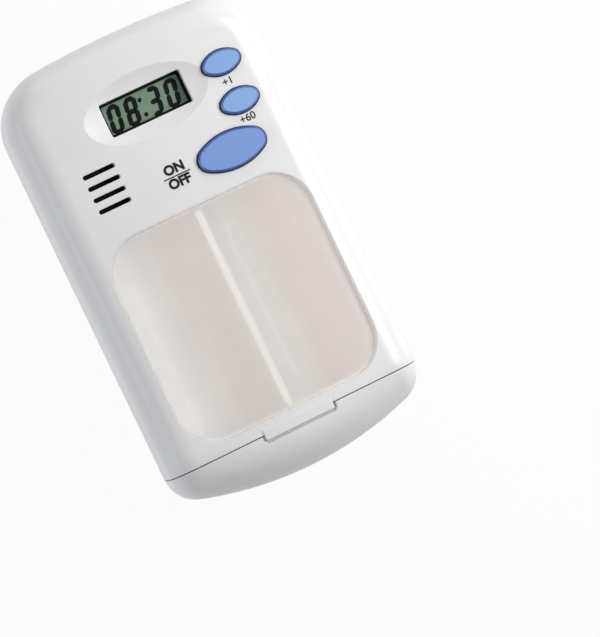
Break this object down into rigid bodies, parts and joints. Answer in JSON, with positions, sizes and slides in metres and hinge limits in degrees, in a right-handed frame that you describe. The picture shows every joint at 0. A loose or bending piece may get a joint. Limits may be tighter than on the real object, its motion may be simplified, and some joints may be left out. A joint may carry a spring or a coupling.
{
  "type": "electronic pill box",
  "caption": "Pocket pill case whose hinged front holds a clear window over two curved wells and a timer with display, sound slots and oval push buttons.",
  "frame": {"origin": "middle of the flat back, which is the bottom of the box as it lies on a table", "axes": "+X across the box to the button side, +Y along it to the display end, +Z out of its face"},
  "size_m": [0.058, 0.1, 0.021],
  "materials": {
    "white_abs": "satin white moulded ABS",
    "tray_white": "satin white moulded plastic",
    "smoky_clear": "clear acrylic with a smoky beige tint",
    "clear_lens": "clear polished plastic",
    "lcd_glass": "green-grey display glass with dark digits",
    "reflector_foil": "matt reflecting foil",
    "frame_black": "black moulded plastic",
    "contact_rubber": "layered contact rubber",
    "board_green": "green board with solder mask",
    "resin_black": "black potting resin",
    "can_steel": "bright plated can",
    "chip_body": "fired ceramic with tinned ends",
    "keypad_rubber": "grey silicone rubber",
    "buzzer_brass": "rolled brass",
    "buzzer_white": "silvered ceramic",
    "lead_wire": "thin insulated wire",
    "cell_steel": "plated steel can",
    "contact_spring": "nickel-plated spring strip",
    "screw_steel": "zinc-plated steel",
    "pin_steel": "drawn steel wire",
    "button_blue": "satin cornflower blue plastic"
  },
  "bodies": {
    "base": {"base_shell": "white_abs", "pill_tray": "tray_white", "hinge_pin": "pin_steel"},
    "lid": {"lid_shell": "white_abs", "pill_window": "smoky_clear", "display_lens": "clear_lens", "lcd_cell": "lcd_glass", "lcd_reflector": "reflector_foil", "lcd_frame": "frame_black", "zebra_strips": "contact_rubber", "circuit_board": "board_green", "chip_blob": "resin_black", "quartz_crystal": "can_steel", "chip_components": "chip_body", "keypad_membrane": "keypad_rubber", "buzzer_plate": "buzzer_brass", "buzzer_ceramic": "buzzer_white", "buzzer_wires": "lead_wire", "battery_cell": "cell_steel", "battery_contact_positive": "contact_spring", "battery_contact_negative": "contact_spring", "inner_cover": "white_abs", "cover_screws": "screw_steel", "board_screws": "screw_steel"},
    "minute_button": {"min_button": "button_blue"},
    "hour_button": {"hour_button": "button_blue"},
    "start_stop_button": {"start_stop_button": "button_blue"},
    "battery_door": {"battery_door": "white_abs"}
  },
  "joints": [
    {"name": "lid_hinge", "type": "hinge", "parent": "base", "child": "lid", "pos_m": [0, 0.0469, 0.0065], "axis": [-1, 0, 0], "range_deg": [0, 110]},
    {"name": "minute_press", "type": "slide", "parent": "lid", "child": "minute_button", "axis": [0, 0, -1], "range_m": [0, 0.0008], "stiffness_N_per_m": 400, "springref_m": -0.0006},
    {"name": "hour_press", "type": "slide", "parent": "lid", "child": "hour_button", "axis": [0, 0, -1], "range_m": [0, 0.0008], "stiffness_N_per_m": 400, "springref_m": -0.0006},
    {"name": "start_stop_press", "type": "slide", "parent": "lid", "child": "start_stop_button", "axis": [0, 0, -1], "range_m": [0, 0.0008], "stiffness_N_per_m": 400, "springref_m": -0.0006},
    {"name": "battery_door_turn", "type": "hinge", "parent": "lid", "child": "battery_door", "pos_m": [-0.0145, 0.0212, 0.0068], "axis": [0, 0, 1], "range_deg": [0, 60]}
  ]
}
